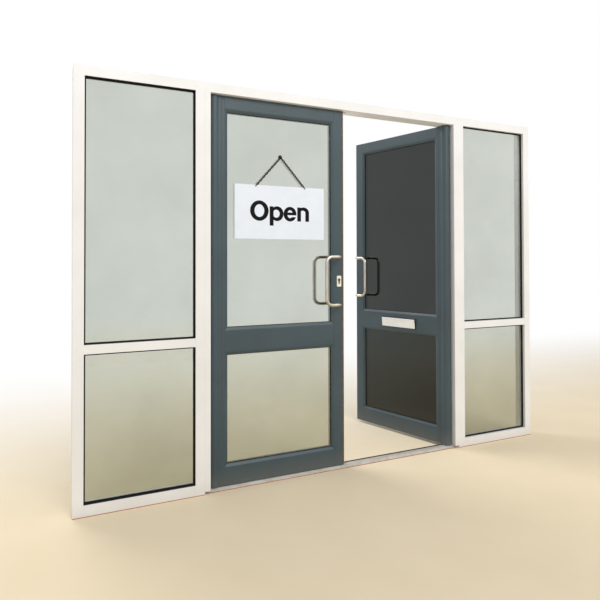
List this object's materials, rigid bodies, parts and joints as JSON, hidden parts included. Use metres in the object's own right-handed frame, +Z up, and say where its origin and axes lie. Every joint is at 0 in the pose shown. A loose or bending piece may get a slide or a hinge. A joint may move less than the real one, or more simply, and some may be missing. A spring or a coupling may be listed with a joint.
{
  "type": "glazed double entrance door set",
  "caption": "Glazed entrance screen with two swing door leaves between sidelights: round nosed stiles, cranked pulls, letter plate, lock and a hanging sign.",
  "frame": {"origin": "middle of the doorway on the threshold's underside", "axes": "+X along the facade to the right seen from the street, +Y into the building, +Z up"},
  "size_m": [2.992, 0.86, 2.168],
  "materials": {
    "white_frame": "satin powder coat",
    "slate_leaf": "satin powder coat",
    "mill_aluminium": "satin",
    "black_gasket": "matte",
    "clear_glass": "polished",
    "satin_pull": "satin",
    "zinc_steel": "satin",
    "closer_paint": "satin",
    "nickel_lock": "satin",
    "cream_trim": "satin",
    "brown_brush": "pile",
    "black_trim": "satin",
    "white_flap": "satin",
    "sign_white": "smooth",
    "black_chain": "satin"
  },
  "bodies": {
    "frame": {"left_jamb": "white_frame", "right_jamb": "white_frame", "left_mullion": "white_frame", "right_mullion": "white_frame", "left_door_jamb": "white_frame", "right_door_jamb": "white_frame", "left_sidelight_head": "white_frame", "right_sidelight_head": "white_frame", "door_head": "white_frame", "left_transom": "white_frame", "right_transom": "white_frame", "left_sill": "white_frame", "right_sill": "white_frame", "sidelight_beads": "white_frame", "threshold": "mill_aluminium", "left_sidelight_panes": "clear_glass", "right_sidelight_panes": "clear_glass", "sidelight_gaskets": "black_gasket", "closers": "closer_paint", "bottom_pivots": "zinc_steel"},
    "left_leaf": {"left_hinge_stile": "slate_leaf", "left_lock_stile": "slate_leaf", "left_top_rail": "slate_leaf", "left_mid_rail": "slate_leaf", "left_bottom_rail": "slate_leaf", "left_leaf_beads": "slate_leaf", "left_leaf_panes": "clear_glass", "left_leaf_gaskets": "black_gasket", "left_pivot_shoes": "zinc_steel", "left_pull_bolts": "zinc_steel", "left_meeting_brushes": "brown_brush", "left_outer_pull": "satin_pull", "left_inner_pull": "satin_pull", "lock_case": "zinc_steel", "lock_cylinder": "nickel_lock", "lock_escutcheons": "cream_trim", "sign_hook": "black_trim"},
    "right_leaf": {"right_hinge_stile": "slate_leaf", "right_lock_stile": "slate_leaf", "right_top_rail": "slate_leaf", "right_mid_rail": "slate_leaf", "right_bottom_rail": "slate_leaf", "right_leaf_beads": "slate_leaf", "right_leaf_panes": "clear_glass", "right_leaf_gaskets": "black_gasket", "right_pivot_shoes": "zinc_steel", "right_pull_bolts": "zinc_steel", "right_meeting_brushes": "brown_brush", "right_outer_pull": "satin_pull", "right_inner_pull": "satin_pull", "lock_keep_and_guides": "zinc_steel", "letter_plate": "black_trim"},
    "lock_bolt": {"lock_bolt": "zinc_steel"},
    "thumb_turn": {"thumb_turn": "nickel_lock"},
    "top_flush_bolt": {"top_flush_bolt": "zinc_steel"},
    "bottom_flush_bolt": {"bottom_flush_bolt": "zinc_steel"},
    "letter_flap": {"letter_flap": "white_flap"},
    "hanging_sign": {"sign_board": "sign_white", "sign_chain": "black_chain"}
  },
  "joints": [
    {"name": "left_leaf_swing", "type": "hinge", "parent": "frame", "child": "left_leaf", "pos_m": [-0.7905, 0, 0], "axis": [0, 0, 1], "range_deg": [-90, 90]},
    {"name": "right_leaf_swing", "type": "hinge", "parent": "frame", "child": "right_leaf", "pos_m": [0.7905, 0, 0], "axis": [0, 0, 1], "range_deg": [-15, 165]},
    {"name": "thumb_turn_twist", "type": "hinge", "parent": "left_leaf", "child": "thumb_turn", "pos_m": [-0.033, 0, 1.11], "axis": [0, 1, 0], "range_deg": [0, 90]},
    {"name": "lock_bolt_throw", "type": "slide", "parent": "left_leaf", "child": "lock_bolt", "axis": [1, 0, 0], "range_m": [0, 0.02]},
    {"name": "sign_swing", "type": "hinge", "parent": "left_leaf", "child": "hanging_sign", "pos_m": [-0.4045, -0.018, 1.811], "axis": [0, 1, 0], "range_deg": [-4, 4]},
    {"name": "top_flush_bolt_throw", "type": "slide", "parent": "right_leaf", "child": "top_flush_bolt", "axis": [0, 0, 1], "range_m": [0, 0.018]},
    {"name": "bottom_flush_bolt_throw", "type": "slide", "parent": "right_leaf", "child": "bottom_flush_bolt", "axis": [0, 0, -1], "range_m": [0, 0.015]},
    {"name": "letter_flap_lift", "type": "hinge", "parent": "right_leaf", "child": "letter_flap", "pos_m": [0.65926, 0.35746, 0.812], "axis": [-0.2588, 0.9659, 0], "range_deg": [0, 75], "stiffness_Nm_per_rad": 0.08, "springref_deg": -57.3}
  ],
  "couplings": [
    {"joint": "thumb_turn_twist", "follows": "lock_bolt_throw", "rad_per_m": 78.5}
  ]
}
